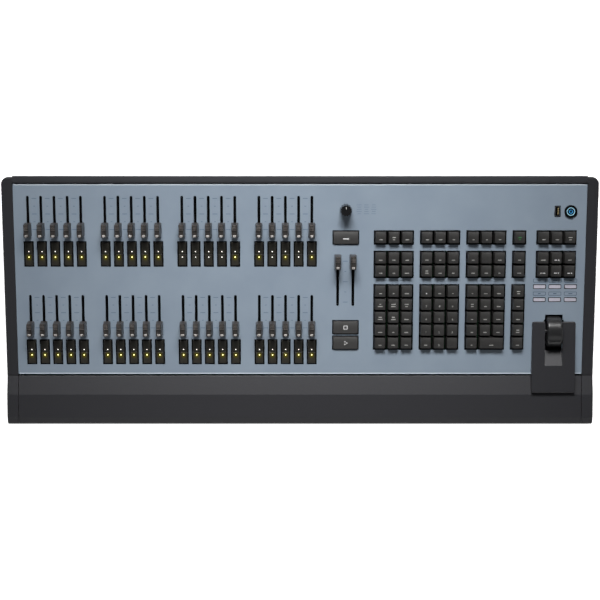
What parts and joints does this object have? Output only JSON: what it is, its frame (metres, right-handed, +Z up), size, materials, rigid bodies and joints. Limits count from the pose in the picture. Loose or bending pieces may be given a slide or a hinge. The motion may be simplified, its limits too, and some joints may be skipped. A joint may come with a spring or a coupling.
{
  "type": "lighting control desk",
  "caption": "Desktop lighting control desk: sloped grey face with banks of slide faders, lit buttons, blocks of keys, a level wheel, a dark wrist rest and end cheeks.",
  "frame": {"origin": "middle of the bounding box, on the surface that the feet stand on", "axes": "+X to the operator's right, +Y away from the operator, +Z up"},
  "size_m": [0.858, 0.36, 0.1053],
  "materials": {
    "black_satin_plastic": "satin moulded",
    "key_plastic": "fine matt",
    "black_steel": "black powder coat",
    "plain_steel": "zinc plated",
    "grey_steel": "blue-grey satin paint",
    "cheek_plastic": "fine texture",
    "foot_rubber": "matt",
    "frame_plastic": "black",
    "circuit_board": "green lacquer",
    "wheel_plastic": "soft gloss",
    "pale_key_plastic": "pale grey"
  },
  "bodies": {
    "desk": {"base_pan": "black_steel", "rubber_feet": "foot_rubber", "left_end_cheek": "cheek_plastic", "right_end_cheek": "cheek_plastic", "wrist_rest": "cheek_plastic", "rear_trim": "black_steel", "face_panel": "grey_steel", "button_frames": "frame_plastic", "fader_bodies": "plain_steel", "key_switches": "frame_plastic", "control_boards": "circuit_board", "main_board": "circuit_board", "power_supply": "plain_steel", "wheel_bracket": "plain_steel", "wheel_housing": "cheek_plastic", "panel_fittings": "frame_plastic", "rear_panel": "black_steel", "rear_sockets": "frame_plastic", "mains_inlet": "frame_plastic", "rear_screws": "plain_steel"},
    "lower_faders_1": {"lower_faders_1": "black_satin_plastic"},
    "lower_faders_2": {"lower_faders_2": "black_satin_plastic"},
    "lower_faders_3": {"lower_faders_3": "black_satin_plastic"},
    "lower_faders_4": {"lower_faders_4": "black_satin_plastic"},
    "upper_faders_1": {"upper_faders_1": "black_satin_plastic"},
    "upper_faders_2": {"upper_faders_2": "black_satin_plastic"},
    "upper_faders_3": {"upper_faders_3": "black_satin_plastic"},
    "upper_faders_4": {"upper_faders_4": "black_satin_plastic"},
    "left_master_fader": {"left_master_fader": "black_satin_plastic"},
    "right_master_fader": {"right_master_fader": "black_satin_plastic"},
    "lower_buttons_1": {"lower_buttons_1": "key_plastic"},
    "lower_buttons_2": {"lower_buttons_2": "key_plastic"},
    "lower_buttons_3": {"lower_buttons_3": "key_plastic"},
    "lower_buttons_4": {"lower_buttons_4": "key_plastic"},
    "upper_buttons_1": {"upper_buttons_1": "key_plastic"},
    "upper_buttons_2": {"upper_buttons_2": "key_plastic"},
    "upper_buttons_3": {"upper_buttons_3": "key_plastic"},
    "upper_buttons_4": {"upper_buttons_4": "key_plastic"},
    "target_keys_lower": {"target_keys_lower": "key_plastic"},
    "number_keys_lower": {"number_keys_lower": "key_plastic"},
    "enter_keys_lower": {"enter_keys_lower": "key_plastic"},
    "strip_keys_lower": {"strip_keys_lower": "key_plastic"},
    "target_keys_middle": {"target_keys_middle": "key_plastic"},
    "number_keys_middle": {"number_keys_middle": "key_plastic"},
    "enter_keys_middle": {"enter_keys_middle": "key_plastic"},
    "strip_keys_middle": {"strip_keys_middle": "key_plastic"},
    "page_keys_middle": {"page_keys_middle": "key_plastic"},
    "target_keys_upper": {"target_keys_upper": "key_plastic"},
    "number_keys_upper": {"number_keys_upper": "key_plastic"},
    "enter_keys_upper": {"enter_keys_upper": "key_plastic"},
    "strip_keys_upper": {"strip_keys_upper": "key_plastic"},
    "page_keys_upper": {"page_keys_upper": "key_plastic"},
    "back_key": {"back_key": "key_plastic"},
    "go_key": {"go_key": "key_plastic"},
    "master_key": {"master_key": "key_plastic"},
    "soft_keys": {"soft_keys": "pale_key_plastic"},
    "power_button": {"power_button": "frame_plastic"},
    "level_wheel": {"level_wheel": "wheel_plastic"},
    "dimmer_knob": {"dimmer_knob": "black_satin_plastic"},
    "mains_rocker": {"mains_rocker": "frame_plastic"}
  },
  "joints": [
    {"name": "lower_faders_1_slide", "type": "slide", "parent": "desk", "child": "lower_faders_1", "axis": [0, 0.9848, 0.1736], "range_m": [0, 0.045]},
    {"name": "lower_faders_2_slide", "type": "slide", "parent": "desk", "child": "lower_faders_2", "axis": [0, 0.9848, 0.1736], "range_m": [0, 0.045]},
    {"name": "lower_faders_3_slide", "type": "slide", "parent": "desk", "child": "lower_faders_3", "axis": [0, 0.9848, 0.1736], "range_m": [0, 0.045]},
    {"name": "lower_faders_4_slide", "type": "slide", "parent": "desk", "child": "lower_faders_4", "axis": [0, 0.9848, 0.1736], "range_m": [0, 0.045]},
    {"name": "upper_faders_1_slide", "type": "slide", "parent": "desk", "child": "upper_faders_1", "axis": [0, 0.9848, 0.1736], "range_m": [0, 0.045]},
    {"name": "upper_faders_2_slide", "type": "slide", "parent": "desk", "child": "upper_faders_2", "axis": [0, 0.9848, 0.1736], "range_m": [0, 0.045]},
    {"name": "upper_faders_3_slide", "type": "slide", "parent": "desk", "child": "upper_faders_3", "axis": [0, 0.9848, 0.1736], "range_m": [0, 0.045]},
    {"name": "upper_faders_4_slide", "type": "slide", "parent": "desk", "child": "upper_faders_4", "axis": [0, 0.9848, 0.1736], "range_m": [0, 0.045]},
    {"name": "left_master_fader_slide", "type": "slide", "parent": "desk", "child": "left_master_fader", "axis": [0, 0.9848, 0.1736], "range_m": [-0.06, 0]},
    {"name": "right_master_fader_slide", "type": "slide", "parent": "desk", "child": "right_master_fader", "axis": [0, 0.9848, 0.1736], "range_m": [-0.06, 0]},
    {"name": "lower_buttons_1_press", "type": "slide", "parent": "desk", "child": "lower_buttons_1", "axis": [0, 0.1736, -0.9848], "range_m": [0, 0.0012], "stiffness_N_per_m": 800, "springref_m": -0.0006},
    {"name": "lower_buttons_2_press", "type": "slide", "parent": "desk", "child": "lower_buttons_2", "axis": [0, 0.1736, -0.9848], "range_m": [0, 0.0012], "stiffness_N_per_m": 800, "springref_m": -0.0006},
    {"name": "lower_buttons_3_press", "type": "slide", "parent": "desk", "child": "lower_buttons_3", "axis": [0, 0.1736, -0.9848], "range_m": [0, 0.0012], "stiffness_N_per_m": 800, "springref_m": -0.0006},
    {"name": "lower_buttons_4_press", "type": "slide", "parent": "desk", "child": "lower_buttons_4", "axis": [0, 0.1736, -0.9848], "range_m": [0, 0.0012], "stiffness_N_per_m": 800, "springref_m": -0.0006},
    {"name": "upper_buttons_1_press", "type": "slide", "parent": "desk", "child": "upper_buttons_1", "axis": [0, 0.1736, -0.9848], "range_m": [0, 0.0012], "stiffness_N_per_m": 800, "springref_m": -0.0006},
    {"name": "upper_buttons_2_press", "type": "slide", "parent": "desk", "child": "upper_buttons_2", "axis": [0, 0.1736, -0.9848], "range_m": [0, 0.0012], "stiffness_N_per_m": 800, "springref_m": -0.0006},
    {"name": "upper_buttons_3_press", "type": "slide", "parent": "desk", "child": "upper_buttons_3", "axis": [0, 0.1736, -0.9848], "range_m": [0, 0.0012], "stiffness_N_per_m": 800, "springref_m": -0.0006},
    {"name": "upper_buttons_4_press", "type": "slide", "parent": "desk", "child": "upper_buttons_4", "axis": [0, 0.1736, -0.9848], "range_m": [0, 0.0012], "stiffness_N_per_m": 800, "springref_m": -0.0006},
    {"name": "target_keys_lower_press", "type": "slide", "parent": "desk", "child": "target_keys_lower", "axis": [0, 0.1736, -0.9848], "range_m": [0, 0.003], "stiffness_N_per_m": 960, "springref_m": -0.002},
    {"name": "number_keys_lower_press", "type": "slide", "parent": "desk", "child": "number_keys_lower", "axis": [0, 0.1736, -0.9848], "range_m": [0, 0.003], "stiffness_N_per_m": 960, "springref_m": -0.002},
    {"name": "enter_keys_lower_press", "type": "slide", "parent": "desk", "child": "enter_keys_lower", "axis": [0, 0.1736, -0.9848], "range_m": [0, 0.003], "stiffness_N_per_m": 960, "springref_m": -0.002},
    {"name": "strip_keys_lower_press", "type": "slide", "parent": "desk", "child": "strip_keys_lower", "axis": [0, 0.1736, -0.9848], "range_m": [0, 0.003], "stiffness_N_per_m": 360, "springref_m": -0.002},
    {"name": "target_keys_middle_press", "type": "slide", "parent": "desk", "child": "target_keys_middle", "axis": [0, 0.1736, -0.9848], "range_m": [0, 0.003], "stiffness_N_per_m": 420, "springref_m": -0.002},
    {"name": "number_keys_middle_press", "type": "slide", "parent": "desk", "child": "number_keys_middle", "axis": [0, 0.1736, -0.9848], "range_m": [0, 0.003], "stiffness_N_per_m": 420, "springref_m": -0.002},
    {"name": "enter_keys_middle_press", "type": "slide", "parent": "desk", "child": "enter_keys_middle", "axis": [0, 0.1736, -0.9848], "range_m": [0, 0.003], "stiffness_N_per_m": 420, "springref_m": -0.002},
    {"name": "strip_keys_middle_press", "type": "slide", "parent": "desk", "child": "strip_keys_middle", "axis": [0, 0.1736, -0.9848], "range_m": [0, 0.003], "stiffness_N_per_m": 180, "springref_m": -0.002},
    {"name": "page_keys_middle_press", "type": "slide", "parent": "desk", "child": "page_keys_middle", "axis": [0, 0.1736, -0.9848], "range_m": [0, 0.003], "stiffness_N_per_m": 420, "springref_m": -0.002},
    {"name": "target_keys_upper_press", "type": "slide", "parent": "desk", "child": "target_keys_upper", "axis": [0, 0.1736, -0.9848], "range_m": [0, 0.003], "stiffness_N_per_m": 240, "springref_m": -0.002},
    {"name": "number_keys_upper_press", "type": "slide", "parent": "desk", "child": "number_keys_upper", "axis": [0, 0.1736, -0.9848], "range_m": [0, 0.003], "stiffness_N_per_m": 240, "springref_m": -0.002},
    {"name": "enter_keys_upper_press", "type": "slide", "parent": "desk", "child": "enter_keys_upper", "axis": [0, 0.1736, -0.9848], "range_m": [0, 0.003], "stiffness_N_per_m": 240, "springref_m": -0.002},
    {"name": "strip_keys_upper_press", "type": "slide", "parent": "desk", "child": "strip_keys_upper", "axis": [0, 0.1736, -0.9848], "range_m": [0, 0.003], "stiffness_N_per_m": 120, "springref_m": -0.002},
    {"name": "page_keys_upper_press", "type": "slide", "parent": "desk", "child": "page_keys_upper", "axis": [0, 0.1736, -0.9848], "range_m": [0, 0.003], "stiffness_N_per_m": 240, "springref_m": -0.002},
    {"name": "back_key_press", "type": "slide", "parent": "desk", "child": "back_key", "axis": [0, 0.1736, -0.9848], "range_m": [0, 0.003], "stiffness_N_per_m": 150, "springref_m": -0.002},
    {"name": "go_key_press", "type": "slide", "parent": "desk", "child": "go_key", "axis": [0, 0.1736, -0.9848], "range_m": [0, 0.003], "stiffness_N_per_m": 150, "springref_m": -0.002},
    {"name": "master_key_press", "type": "slide", "parent": "desk", "child": "master_key", "axis": [0, 0.1736, -0.9848], "range_m": [0, 0.003], "stiffness_N_per_m": 150, "springref_m": -0.002},
    {"name": "soft_keys_press", "type": "slide", "parent": "desk", "child": "soft_keys", "axis": [0, 0.1736, -0.9848], "range_m": [0, 0.0008], "stiffness_N_per_m": 400, "springref_m": -0.0006},
    {"name": "power_button_press", "type": "slide", "parent": "desk", "child": "power_button", "axis": [0, 0.1736, -0.9848], "range_m": [0, 0.0015], "stiffness_N_per_m": 200, "springref_m": -0.0008},
    {"name": "level_wheel_spin", "type": "hinge", "parent": "desk", "child": "level_wheel", "pos_m": [0.3694, -0.0437, 0.0505], "axis": [1, 0, 0], "continuous": true},
    {"name": "dimmer_knob_turn", "type": "hinge", "parent": "desk", "child": "dimmer_knob", "pos_m": [0.066, 0.13231, 0.0862], "axis": [0, -0.1736, 0.9848], "range_deg": [-150, 150]},
    {"name": "mains_rocker_tip", "type": "hinge", "parent": "desk", "child": "mains_rocker", "pos_m": [-0.3155, 0.1706, 0.044], "axis": [1, 0, 0], "range_deg": [-6, 6]}
  ]
}
